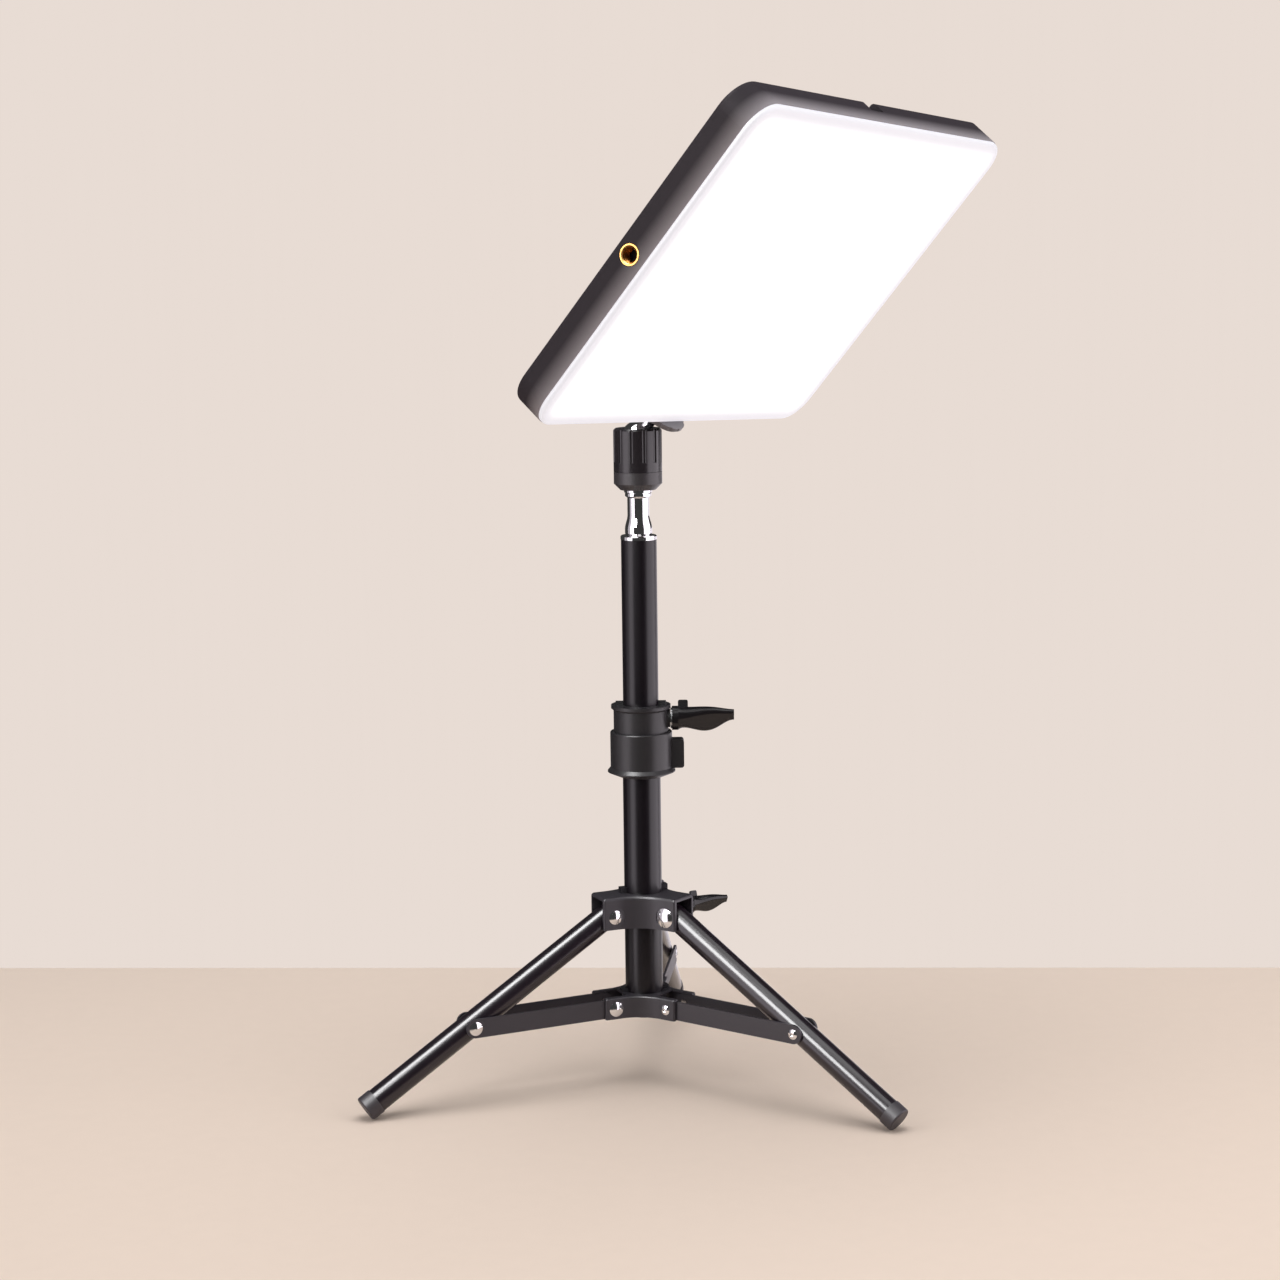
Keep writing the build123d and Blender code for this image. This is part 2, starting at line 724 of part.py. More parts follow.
def lock_ring():
    """Fluted ring that draws down over the ball."""
    bottom = head_shoulder + rim_gap
    top = head_shoulder + lock_ring_height
    bore = head_neck_radius + lock_ring_clearance
    body = turned(
        (bore, bottom), (head_radius, bottom), (head_radius, top - lock_ring_bevel),
        (head_radius - lock_ring_bevel, top),
        (mouth_radius + mouth_flare, top), (mouth_radius, ball_height + mouth_height),
        (0, ball_height + mouth_height), (0, bottom))
    neck_top = head_neck_top + side_clearance
    body -= Pos(0, 0, bottom) * Cylinder(
        bore, neck_top - bottom, align=standing)
    body -= Pos(0, 0, neck_top) * Cylinder(
        ball_radius + side_clearance, ball_height - neck_top, align=standing)
    body -= Pos(0, 0, ball_height) * Sphere(ball_radius + side_clearance)
    flute_bottom = bottom + lock_ring_band
    for i in range(lock_ring_flutes):
        flute = Pos(head_radius + flute_radius - flute_depth, 0, flute_bottom) * Cylinder(
            flute_radius, lock_ring_height, align=standing)
        body -= Rot(0, 0, (i + 0.5) * 360 / lock_ring_flutes) * flute
    return body


def ball_stem():
    """Ball with its stem and the threaded stud that enters the panel."""
    stem = Cylinder(stem_radius, stem_length - rim_gap, align=standing)
    stud = Cylinder(stud_radius, stem_length + stud_length, align=standing)
    return stem_frame() * (Sphere(ball_radius) + stem + stud)


def lock_disc():
    """Thumb disc with a boss, which jams against the underside of the panel."""
    bottom = stem_length - rim_gap - lock_disc_thickness
    disc = Pos(0, 0, bottom) * ring(lock_disc_radius, stem_radius + pin_clearance, lock_disc_thickness)
    rims = disc.edges().filter_by(GeomType.CIRCLE).sort_by(SortBy.RADIUS)[-2:]
    disc = chamfer(rims.sort_by(Axis.Z)[0], lock_disc_bevel)
    boss = Pos(0, 0, bottom - lock_disc_boss_height) * ring(
        lock_disc_boss, stem_radius + pin_clearance, lock_disc_boss_height)
    disc += boss
    for i in range(lock_disc_notches):
        notch = Pos(lock_disc_radius + notch_radius - notch_bite, 0, bottom) * Cylinder(
            notch_radius, lock_disc_thickness, align=standing)
        disc -= Rot(0, 0, i * 360 / lock_disc_notches) * notch
    return stem_frame() * disc


# ---------------------------------------------------------------- panel

def plate(width, height, corner, y_from, y_to):
    """Rounded plate standing in the panel plane between two depths."""
    face = Pos(0, panel_middle) * RectangleRounded(width, height, corner)
    solid = extrude(face, y_to - y_from)
    return Pos(0, y_to, 0) * Rot(90, 0, 0) * solid


def frame_ring(width, height, corner, rim, y_from, y_to):
    """Rounded frame standing in the panel plane."""
    inside = plate(width - 2 * rim, height - 2 * rim, corner - rim, y_from, y_to)
    return plate(width, height, corner, y_from, y_to) - inside


def insert_frames():
    """Frames at the three inserts with Z pointing out of the wall."""
    return {
        "left": Pos(-panel_width / 2, 0, panel_middle) * Rot(0, -90, 0),
        "right": Pos(panel_width / 2, 0, panel_middle) * Rot(0, 90, 0),
        "bottom": Pos(0, 0, stem_length) * Rot(180, 0, 0)}


def screw_places():
    """Screw stations on the back: the four corners and the middle of the top edge."""
    x = panel_width / 2 - screw_inset
    z = panel_height / 2 - screw_inset
    corners = [(sx * x, panel_middle + sz * z) for sx in (-1, 1) for sz in (-1, 1)]
    return corners + [(0, panel_middle + z)]


def rear_shell():
    """Tray-shaped housing with insert bosses, board posts, button holes, vents and a hook recess."""
    body = plate(panel_width, panel_height, panel_corner, -half_depth, half_depth)
    body = fillet(body.faces().sort_by(Axis.Y)[-1].edges(), panel_back_rounding)
    hook = Pos(hook_offset, half_depth, panel_top)
    hollow = plate(inner_width, inner_height, inner_corner, -half_depth - overrun, floor_face)
    hollow -= hook * Box(
        hook_width + 2 * hook_wall, 2 * (hook_depth + hook_wall), 2 * (hook_height + hook_wall))
    body -= hollow
    body -= hook * Box(hook_width, 2 * hook_depth, 2 * hook_height)
    boss_depth = insert_length + boss_wall
    for place in insert_frames().values():
        boss = Cylinder(insert_boss_radius, boss_depth, align=hanging)
        body += place * boss
        body -= place * Cylinder(insert_radius, insert_length, align=hanging)
        body -= place * Cone(insert_radius, insert_radius + seat_lead, seat_lead, align=hanging)
    for x, z in screw_places():
        body -= Pos(x, 0, z) * cross_cylinder(screw_radius, 0, half_depth + overrun)
        body -= Pos(x, 0, z) * cross_cylinder(
            screw_head_radius, screw_head_seat, half_depth + overrun)
    for x in button_xs:
        body -= Pos(x, 0, button_z) * cross_cylinder(
            button_radius + button_clearance, floor_face - overrun, half_depth + overrun)
    for sx in (-1, 1):
        post_x = sx * (board_width / 2 - board_post_inset)
        for sz in (-1, 1):
            post = Pos(post_x, 0, button_z + sz * (board_height / 2 - board_post_inset))
            body += post * cross_cylinder(board_post_radius, floor_face - board_standoff, floor_face)
        for i in range(vent_count):
            row = panel_middle + vent_rise + (i - (vent_count - 1) / 2) * vent_pitch
            body -= Pos(sx * vent_offset, half_depth, row) * Box(
                vent_length, 2 * panel_wall + overrun, vent_width)
    inlet = Pos(inlet_offset, inlet_depth(), stem_length) * Rot(180, 0, 0) * Cylinder(
        inlet_radius, 3 * panel_wall)
    return stem_frame() * (body - inlet)


def inlet_depth():
    """Depth of the inlet's axis, in line with the board it is soldered to."""
    return floor_face - board_standoff - board_thickness - inlet_radius


def diffuser():
    """Frosted cover over the whole front, with a lip inside the shell."""
    front = -half_depth - diffuser_thickness
    inset = 2 * diffuser_inset
    corner = panel_corner - diffuser_inset
    cover = plate(panel_width - inset, panel_height - inset, corner, front, -half_depth)
    cover = fillet(cover.faces().sort_by(Axis.Y)[0].edges(), diffuser_rounding)
    lip = frame_ring(inner_width, inner_height, inner_corner, diffuser_lip,
                     -half_depth, diffuser_lip_depth - half_depth)
    return stem_frame() * (cover + lip)


def light_guide():
    """Acrylic plate that spreads the light of the strips at its two short edges."""
    rim = diffuser_lip + strip_thickness
    return stem_frame() * plate(
        inner_width - 2 * rim, inner_height - 2 * (diffuser_lip + guide_play), inner_corner - diffuser_lip,
        -half_depth, guide_back)


def reflector_sheet():
    return stem_frame() * plate(
        inner_width - 2 * diffuser_lip, inner_height - 2 * diffuser_lip, inner_corner - diffuser_lip,
        guide_back, chassis_front)


def led_strips():
    """Narrow boards beside the light guide, each with a row of LEDs facing it."""
    length = inner_height - 2 * inner_corner
    board = strip_thickness / 2
    strips = []
    for side in (-1, 1):
        x = side * (inner_width / 2 - diffuser_lip - board / 2)
        depth = (guide_back - half_depth) / 2
        strip = Pos(x, depth, panel_middle) * Box(board, guide_thickness, length)
        for i in range(led_count):
            z = panel_middle + (i + 0.5 - led_count / 2) * length / led_count
            led = Box(board, guide_thickness * 0.7, led_size)
            strip += Pos(x - side * board, depth, z) * led
        strips.append(stem_frame() * strip)
    return Compound(strips)


def chassis():
    """White frame that presses the optical stack forward and takes the back screws."""
    body = frame_ring(
        inner_width - 2 * side_clearance, inner_height - 2 * side_clearance,
        inner_corner - side_clearance, chassis_rim, chassis_front, chassis_back)
    for x, z in screw_places():
        body += Pos(x, 0, z) * cross_cylinder(screw_boss_radius, chassis_front, floor_face)
        body -= Pos(x, 0, z) * cross_cylinder(screw_radius, half_depth - screw_length, half_depth)
    for place in insert_frames().values():
        body -= place * Cylinder(
            insert_boss_radius + side_clearance, insert_length + 2 * boss_wall,
            align=hanging)
    inlet_room = 2 * (inlet_radius + inlet_play)
    body -= Pos(inlet_offset, inlet_depth(), stem_length) * Box(inlet_room, inlet_room, 3 * inlet_length)
    return stem_frame() * body


def insert(name, bore):
    """Brass insert with a chamfered mouth, flush with the wall it sits in."""
    body = Cylinder(insert_radius, insert_length, align=hanging)
    body -= Cylinder(bore, 3 * insert_length)
    body -= Cone(bore, bore + insert_lead, insert_lead, align=hanging)
    return stem_frame() * insert_frames()[name] * body


def back_screws():
    """Pan-head screws recessed in the back."""
    head_top = half_depth - screw_recess
    screws = []
    for x, z in screw_places():
        screw = cross_cylinder(screw_radius, half_depth - screw_length, screw_head_seat)
        screw += cross_cylinder(screw_head_radius, screw_head_seat, head_top)
        for turn in (0, 90):
            screw -= Rot(0, turn, 0) * Pos(0, head_top, 0) * Box(
                cross_length, 2 * cross_depth, cross_width)
        screws.append(stem_frame() * Pos(x, 0, z) * screw)
    return Compound(screws)


def driver_board():
    """Circuit board on the shell's posts, with a key switch behind each button."""
    back = floor_face - board_standoff
    key_top = floor_face - button_flange - button_travel - side_clearance
    board = Pos(0, back - board_thickness / 2, button_z) * Box(board_width, board_thickness, board_height)
    for x in button_xs:
        board += Pos(x, 0, button_z) * cross_cylinder(key_radius, back, key_top)
    for i in range(chip_count):
        x = (i - (chip_count - 1) / 2) * chip_pitch
        board += Pos(x, back - board_thickness - chip_thickness / 2, button_z + chip_rise) * Box(
            chip_width, chip_thickness, chip_height)
    return stem_frame() * board


def dc_inlet():
    """Barrel socket in the bottom wall."""
    body = Cylinder(inlet_radius, inlet_length, align=hanging)
    body -= Cylinder(inlet_bore, 2 * (inlet_length - inlet_floor))
    body += Pos(0, 0, -inlet_pin_recess) * Cylinder(
        inlet_pin, inlet_length - inlet_pin_recess - inlet_floor / 2, align=hanging)
    return stem_frame() * Pos(inlet_offset, inlet_depth(), stem_length) * Rot(180, 0, 0) * body


def push_button(x):
    """Round cap held behind the shell's back by its flange."""
    cap = cross_cylinder(button_radius, floor_face - side_clearance / 2, half_depth + button_proud)
    cap = fillet(cap.edges().sort_by(Axis.Y)[-1], button_rounding)
    flange_front = floor_face - side_clearance / 2 - button_flange
    flange = cross_cylinder(
        button_radius + button_flange_width, flange_front, floor_face - side_clearance / 2)
    return stem_frame() * Pos(x, 0, button_z) * (cap + flange)


# ---------------------------------------------------------------- write the sub-parts

def pieces():
    """All sub-parts by node name, each at its place in the object."""
    parts = {
        "lower_tube": lower_tube(),
        "tube_end_plug": tube_end_plug(),
        "lower_hub": lower_hub(),
        "lower_hub_bushing": sleeve(
            bushing_bore, lower_hub_bottom, lower_hub_top, ear_azimuth, ear_height),
        "lower_hub_rivets": lower_hub_rivets(),
        "height_collar": height_collar(),
        "collar_pinch_bolt": collar_pinch_bolt(),
        "collar_guide": collar_guide(),
        "collar_clamp_pad": clamp_pad(0, collar_knob_height, mast_radius),
        "upper_hub": upper_hub(),
        "leg_pivot_rivets": leg_pivot_rivets(),
        "hub_clamp_pad": clamp_pad(hub_knob_azimuth, hub_pivot_height, tube_radius),
        "mast_tail_plug": mast_tail_plug(),
        "upper_tube": upper_tube(),
        "mast_cap": mast_cap(),
        "spigot": spigot(),
        "head_base": head_base(),
        "ball_seat": ball_seat(),
        "lock_ring": lock_ring(),
        "ball_stem": ball_stem(),
        "lock_disc": lock_disc(),
        "rear_shell": rear_shell(),
        "diffuser": diffuser(),
        "light_guide": light_guide(),
        "reflector_sheet": reflector_sheet(),
        "led_strips": led_strips(),
        "chassis": chassis(),
        "side_insert_left": insert("left", side_bore_radius),
        "side_insert_right": insert("right", side_bore_radius),
        "bottom_insert": insert("bottom", bottom_bore_radius),
        "back_screws": back_screws(),
        "driver_board": driver_board(),
        "dc_inlet": dc_inlet(),
    }
    window = radial_frame(hub_knob_azimuth, 0, hub_pivot_height) * Cylinder(
        knob_pad_radius, 2 * bushing_radius, align=standing)
    parts["upper_hub_bushing"] = sleeve(
        bushing_bore, upper_hub_bottom, upper_hub_top, ear_azimuth, upper_ear_height) - window
    knob_start = collar_knob_seat + rim_gap + washer_thickness
    parts["collar_wing_knob"] = knob_piece(
        0, collar_knob_height, knob_start,
        collar_knob_reach, collar_knob_tall, collar_knob_twist)
    parts["collar_knob_screw"] = knob_screw(0, collar_knob_height, knob_start, collar_knob_reach)
    parts["collar_knob_washer"] = collar_knob_washer()
    knob_start = hub_knob_seat + rim_gap
    parts["hub_wing_knob"] = knob_piece(
        hub_knob_azimuth, hub_pivot_height, knob_start,
        hub_knob_reach, hub_knob_tall, hub_knob_twist)
    parts["hub_knob_screw"] = knob_screw(hub_knob_azimuth, hub_pivot_height, knob_start, hub_knob_reach)
    for name, azimuth in leg_azimuths.items():
        tube, plug, cap = leg_pieces(azimuth)
        parts[f"leg_tube_{name}"] = tube
        parts[f"leg_plug_{name}"] = plug
        parts[f"foot_cap_{name}"] = cap
        parts[f"strut_bars_{name}"] = strut_bars(azimuth)
        parts[f"strut_rivets_{name}"] = strut_rivets(azimuth)
    for i, x in enumerate(button_xs, start=1):
        parts[f"button_{i}"] = push_button(x)
    return parts


def footprint_centre(shapes):
    """Middle of the ground that the whole stand takes up, from the column axis."""
    boxes = [shape.bounding_box() for shape in shapes]
    low_x = min(box.min.X for box in boxes)
    high_x = max(box.max.X for box in boxes)
    low_y = min(box.min.Y for box in boxes)
    high_y = max(box.max.Y for box in boxes)
    return Pos((low_x + high_x) / 2, (low_y + high_y) / 2, 0)


if __name__ == "__main__":
    os.makedirs("parts", exist_ok=True)
    stand = pieces()
    placing = footprint_centre(stand.values()).inverse()
    for node, shape in stand.items():
        shape = placing * shape
        shape.label = node
        export_step(shape, f"parts/{node}.step")
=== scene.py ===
"""Looks of an LED panel light on a folding stand: finishes, side threads and the stage."""

import json
import math

import bpy
import numpy as np
from mathutils import Matrix, Vector


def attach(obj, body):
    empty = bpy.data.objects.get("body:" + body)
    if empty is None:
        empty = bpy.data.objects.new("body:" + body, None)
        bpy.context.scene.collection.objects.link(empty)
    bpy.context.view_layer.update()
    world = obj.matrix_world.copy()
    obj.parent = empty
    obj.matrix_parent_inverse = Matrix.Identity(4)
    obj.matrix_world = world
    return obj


bl_info = {
    "name": "Panel Light",
    "version": (1, 0, 0),
    "blender": (4, 5, 0),
    "location": "View3D > Sidebar > Panel Light",
    "description": "Finishes and fine parts of an LED panel light on a folding stand",
    "category": "Object",
}

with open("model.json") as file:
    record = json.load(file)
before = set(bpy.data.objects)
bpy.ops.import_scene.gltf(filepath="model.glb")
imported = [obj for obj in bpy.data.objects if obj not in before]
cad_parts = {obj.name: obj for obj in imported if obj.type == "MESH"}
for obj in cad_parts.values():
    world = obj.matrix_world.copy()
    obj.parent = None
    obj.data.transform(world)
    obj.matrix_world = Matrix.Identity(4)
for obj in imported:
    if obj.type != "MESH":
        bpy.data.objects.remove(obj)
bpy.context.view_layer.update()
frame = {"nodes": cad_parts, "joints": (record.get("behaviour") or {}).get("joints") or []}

MM = 0.001


# ---------------------------------------------------------------- places from the frame

def joint(name):
    """The record's joint of that name."""
    return next(j for j in frame["joints"] if j["name"] == name)


def panel_matrix():
    """Frame of the panel: origin at the ball, X to its right, Y to its back, Z up its middle."""
    up = Vector(joint("panel_turn")["axis"]).normalized()
    back = -Vector(joint("button_press_1")["axis"]).normalized()
    right = back.cross(up).normalized()
    turn = Matrix((right, back, up)).transposed().to_4x4()
    return Matrix.Translation(joint("ball_tilt")["pos_m"]) @ turn


def local_box(node, matrix):
    """Lowest and highest corner of a CAD node measured along the axes of matrix."""
    mesh = frame["nodes"][node].data
    points = np.zeros(len(mesh.vertices) * 3)
    mesh.vertices.foreach_get("co", points)
    inverse = np.array(matrix.inverted())
    points = points.reshape(-1, 3) @ inverse[:3, :3].T + inverse[:3, 3]
    return points.min(0), points.max(0)


COLUMN = Vector((*joint("mast_turn")["pos_m"][:2], 0))
PANEL = panel_matrix()
SHELL_FRONT = local_box("rear_shell", PANEL)[0][1]
COVER_LOW, COVER_HIGH = local_box("diffuser", PANEL)


# ---------------------------------------------------------------- sizes and colours

def colour(name, text, code):
    """Colour property with an sRGB default written as a hex code."""
    shares = [int(code[i:i + 2], 16) / 255 for i in (0, 2, 4)]
    linear = [s / 12.92 if s < 0.04045 else ((s + 0.055) / 1.055) ** 2.4 for s in shares]
    return bpy.props.FloatVectorProperty(
        name=name, description=text, subtype="COLOR", size=3, min=0, max=1, default=linear)


def length(name, text, size):
    """Length property with its default in millimetres."""
    return bpy.props.FloatProperty(
        name=name, description=text, unit="LENGTH", min=0, default=size * MM, precision=5)


def share(name, text, value, top=1.0):
    """Plain number from zero to top."""
    return bpy.props.FloatProperty(name=name, description=text, min=0, max=top, default=value)


class PaintColours(bpy.types.PropertyGroup):
    tube: colour("Tube", "Satin black of the column tubes", "110a12")
    leg: colour("Legs", "Gloss lacquer of the legs", "1e151e")
    hub: colour("Hubs", "Powder coat of the hubs and struts", "343037")
    collar: colour("Collar", "Moulded height collar", "2d2b2e")
    knob: colour("Knobs", "Wing knobs", "1e1b1e")
    head: colour("Head", "Base of the ball head", "3d3a3e")
    ring: colour("Lock ring", "Fluted ring over the ball", "2a262b")
    disc: colour("Thumb disc", "Disc under the panel", "6a666a")
    foot: colour("Feet", "Caps on the legs", "39343a")
    shell_dark: colour("Shell", "Panel housing", "3a353a")
    # Painted light: the housing wall's colour near the lit cover, standing in for the cover's light
    # falling on the wall
    shell_painted_spill: colour("Shell edge", "Housing wall near the lit cover", "989297")
    cover: colour("Cover", "Lit face of the panel", "ffffff")
    cover_rim: colour("Cover rim", "Rounded rim of the cover", "ecebf2")
    brass: colour("Brass", "Threaded inserts", "dcab63")
    # Painted shade: the inside of the inserts gets a darker brass than their mouths, for the shade
    # in the bores
    brass_bore_shade: colour("Brass bore", "Inside of the inserts", "8a5a2c")
    chrome: colour("Chrome", "Spigot, ball and rivets", "e9e8ea")
    steel: colour("Steel", "Zinc plated screws", "b4b4b6")


class PanelSizes(bpy.types.PropertyGroup):
    rim: length("Lit rim", "Width of the cooler rim of the cover", 9)
    corner: length("Lit corner", "Corner radius of the evenly lit field", 16)
    # Depth over which the painted light from the cover spreads on the housing wall
    fade: length("Wall fade", "Depth over which the wall lightens to the front", 10.5)
    thread_depth: length("Thread depth", "Height of the thread in the inserts", 0.62)
    thread_pitch: length("Thread pitch", "Pitch of the side threads", 1.5875)


class StageLook(bpy.types.PropertyGroup):
    floor: colour("Floor", "Floor under the stand", "f6e3d4")
    wall: colour("Wall", "Wall behind the stand", "e8dcd4")
    cards: share("Cards", "Brightness of the upright cards that only reflections see", 2.4, 9)
    side_light: share("Side lights", "Brightness of the softboxes on both sides", 1.2, 9)
    top_light: share("Top light", "Brightness of the softbox overhead", 2.75, 9)
    leg_light: share("Leg lights", "Brightness of the two lights that shine on the legs", 21, 99)
    fill: share("Fill", "Strength of the even light from all round", 0.3, 4)
    mirrored: share("Mirrored fill", "Strength of the surroundings in reflections", 0.05, 4)


GROUPS = {"light_paint": PaintColours, "light_panel": PanelSizes, "light_stage": StageLook}


def settings(name):
    """The scene's values of one property group."""
    return getattr(bpy.context.scene, name)


# ---------------------------------------------------------------- shader nodes

class Number:
    """A float socket that arithmetic works on: each sum or product adds its Math node."""

    def __init__(self, finish, socket):
        self.finish = finish
        self.socket = socket

    def __add__(self, other):
        return self.finish.maths("ADD", self, other)

    def __sub__(self, other):
        return self.finish.maths("SUBTRACT", self, other)

    def __rsub__(self, other):
        return self.finish.maths("SUBTRACT", other, self)

    def __mul__(self, other):
        return self.finish.maths("MULTIPLY", self, other)

    def __truediv__(self, other):
        return self.finish.maths("DIVIDE", self, other)

    def __abs__(self):
        return self.finish.maths("ABSOLUTE", self)

    __radd__ = __add__
    __rmul__ = __mul__


class Finish:
    """One material built round its Principled shader."""

    def __init__(self, name, **constants):
        self.material = bpy.data.materials.new(name)
        self.material.use_nodes = True
        self.tree = self.material.node_tree
        self.shader = self.tree.nodes["Principled BSDF"]
        for key, value in constants.items():
            self.feed(self.shader.inputs[key.replace("_", " ")], value)
        self.place = self.node("TexCoord").outputs["Object"]

    def feed(self, socket, value):
        """Links a socket or a Number, or sets a constant."""
        if isinstance(value, Number):
            value = value.socket
        if isinstance(value, bpy.types.NodeSocket):
            self.tree.links.new(value, socket)
        elif socket.type == "RGBA" and len(value) == 3:
            socket.default_value = (*value, 1)
        else:
            socket.default_value = value

    def node(self, kind, options=(), values=()):
        """Adds a node: its options are set first, then its sockets are fed."""
        made = self.tree.nodes.new("ShaderNode" + kind)
        for key, value in dict(options).items():
            setattr(made, key, value)
        for key, value in dict(values).items():
            self.feed(made.inputs[key], value)
        return made

    def maths(self, operation, *terms):
        """Adds a Math node that works on numbers and sockets."""
        made = self.node("Math", {"operation": operation}, enumerate(terms))
        return Number(self, made.outputs[0])

    def larger(self, a, b):
        """The greater of two values."""
        return self.maths("MAXIMUM", a, b)

    def rise(self, value, low, high):
        """Smooth step of value from 0 at low to 1 at high."""
        made = self.node("MapRange", {"interpolation_type": "SMOOTHSTEP"}, {
            "Value": value, "From Min": low, "From Max": high})
        return Number(self, made.outputs["Result"])

    def noise(self, scale, detail=2.0, stretch=None):
        """Noise from 0 to 1 on object coordinates; stretch scales the axes one by one."""
        place = self.place
        if stretch:
            place = self.node("Mapping", {}, {"Vector": place, "Scale": stretch}).outputs[0]
        made = self.node("TexNoise", {}, {"Vector": place, "Scale": scale, "Detail": detail})
        return Number(self, made.outputs["Fac"])

    def along(self, direction, origin):
        """Distance of the surface point from origin along a direction."""
        moved = self.node("VectorMath", {"operation": "SUBTRACT"}, {0: self.place, 1: origin})
        dot = self.node("VectorMath", {"operation": "DOT_PRODUCT"}, {
            0: moved.outputs[0], 1: direction})
        return Number(self, dot.outputs["Value"])

    def mix(self, mask, first, second):
        """Colour going from first to second as mask goes from 0 to 1."""
        made = self.node("Mix", {"data_type": "RGBA"})
        for index, value in ((0, mask), (6, first), (7, second)):
            self.feed(made.inputs[index], value)
        return made.outputs[2]

    def paint(self, **varying):
        """Feeds sockets of the shader that may vary over the surface."""
        for key, value in varying.items():
            self.feed(self.shader.inputs[key.replace("_", " ")], value)
        return self

    def bump(self, height, distance):
        """Relief of a height in metres at full scale."""
        made = self.node("Bump", {}, {"Height": height, "Distance": distance})
        return self.paint(Normal=made.outputs[0])

    def surface(self, socket):
        """Puts another shader in the Principled shader's place."""
        self.feed(self.tree.nodes["Material Output"].inputs["Surface"], socket)


def scaled(tint, factor):
    """A colour made lighter or darker."""
    return tuple(min(1.0, c * factor) for c in tint)


def moulded(name, tint, rough, grain=1500.0, relief=0.02, spread=0.12, **constants):
    """Moulded plastic: fine even texture, a slow cloud in tint and gloss."""
    finish = Finish(name, **constants)
    cloud = finish.noise(26, 3)
    fine = finish.noise(grain, 2)
    finish.paint(
        Base_Color=finish.mix(cloud, scaled(tint, 1 - spread), scaled(tint, 1 + spread)),
        Roughness=rough + (cloud - 0.5) * 0.12 + (fine - 0.5) * 0.08)
    return finish.bump(fine, relief * MM)


def wear(finish, tint):
    """Paint of a tube: draw lines, soft clouds and a few rubbed specks."""
    cloud = finish.noise(18, 3)
    streak = finish.noise(1.0, 2, (420, 420, 6))
    speck = finish.rise(finish.noise(900, 1), 0.71, 0.78)
    shade = finish.mix(cloud, scaled(tint, 0.8), scaled(tint, 1.25))
    shade = finish.mix(speck * 0.5, shade, scaled(tint, 2.4))
    finish.paint(Base_Color=shade, Roughness=0.23 + cloud * 0.08 + streak * 0.06)
    return finish.bump(finish.noise(700, 1) * 0.7 + streak * 0.3, 0.006 * MM)


def metal(name, tint, rough, brushed=None):
    """Bare or plated metal with faint haze; brushed gives the stretch of its lines."""
    finish = Finish(name, Metallic=1.0)
    haze = finish.noise(60, 3)
    lines = finish.noise(1.0, 2, brushed) if brushed else finish.noise(1800, 2)
    finish.paint(
        Base_Color=finish.mix(haze, scaled(tint, 0.93), tint),
        Roughness=rough + (haze - 0.5) * rough + lines * rough * 0.5)
    return finish.bump(lines, 0.002 * MM)


def assign(finish, *nodes):
    """Gives CAD nodes the finish."""
    for name in nodes:
        slots = frame["nodes"][name].data.materials
        slots.clear()
        slots.append(finish.material)


# ---------------------------------------------------------------- surfaces

SHARP_EDGE = 35     # degrees between faces from which an edge stays sharp


def outward(points, faces):
    """Faces wound so that the enclosed volume is positive."""
    a, b, c, d = (points[faces[:, i]] for i in range(4))
    volume = np.einsum("ij,ij->i", a, np.cross(b, c) + np.cross(c, d)).sum()
    return faces if volume > 0 else faces[:, ::-1]


def ring_faces(rows, columns):
    """Corner numbers of the faces of a grid that closes on itself both ways."""
    row, column = np.meshgrid(np.arange(rows), np.arange(columns), indexing="ij")
    next_row, next_column = (row + 1) % rows, (column + 1) % columns
    corners = [row * columns + column, row * columns + next_column,
               next_row * columns + next_column, next_row * columns + column]
    return np.stack(corners, -1).reshape(-1, 4)


def ring_piece(name, grid, matrix, finish, body):
    """Closed ring from a grid of points in millimetres, smooth but for its sharp edges."""
    points = grid.reshape(-1, 3) * MM
    faces = outward(points, ring_faces(*grid.shape[:2]))
    turn = np.array(matrix)
    points = points @ turn[:3, :3].T + turn[:3, 3]
    mesh = bpy.data.meshes.new(name)
    mesh.from_pydata(points, [], np.concatenate([faces[:, [0, 1, 2]], faces[:, [0, 2, 3]]]))
    mesh.materials.append(finish.material)
    mesh.shade_smooth()
    mesh.set_sharp_from_angle(angle=math.radians(SHARP_EDGE))
    made = bpy.data.objects.new(name, mesh)
    bpy.context.scene.collection.objects.link(made)
    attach(made, body)
    return made


def turning(count):
    """Angles once round, the last short of the first."""
    return np.arange(count) * 2 * np.pi / count


def turned_grid(profile, angles, radius_of):
    """Profile (radius, height) carried round Z, with its radii changed by height and angle."""
    radius = np.repeat(profile[:, :1], len(angles), 1)
    height = np.repeat(profile[:, 1:], len(angles), 1)
    radius = radius_of(radius, height, angles[None, :])
    return np.stack([radius * np.cos(angles), radius * np.sin(angles), height], -1)


def facing(origin, axis):
    """Matrix that puts Z along an axis from an origin."""
    turn = Vector(axis).to_track_quat("Z", "Y").to_matrix().to_4x4()
    return Matrix.Translation(origin) @ turn


# ---------------------------------------------------------------- stand

class PANEL_LIGHT_OT_tubes(bpy.types.Operator):
    """Satin black column, legs, plugs and foot caps"""
    bl_idname = "panel_light.tubes"
    bl_label = "Tubes and legs"

    def execute(self, context):
        paint = settings("light_paint")
        tube = wear(Finish("tube_paint", Coat_Weight=0.0, IOR=1.45), paint.tube)
        assign(tube, "lower_tube", "upper_tube")
        leg = wear(Finish("leg_paint", Coat_Weight=1.0, Coat_Roughness=0.22,
                          Specular_IOR_Level=0.1), paint.leg)
        assign(leg, "leg_tube_a", "leg_tube_b", "leg_tube_c")
        cap = moulded("foot_plastic", paint.foot, 0.46, grain=900, relief=0.03)
        assign(cap, "foot_cap_a", "foot_cap_b", "foot_cap_c")
        plug = moulded("plug_plastic", scaled(paint.foot, 0.7), 0.5)
        assign(plug, "leg_plug_a", "leg_plug_b", "leg_plug_c", "tube_end_plug", "mast_tail_plug")
        return {"FINISHED"}


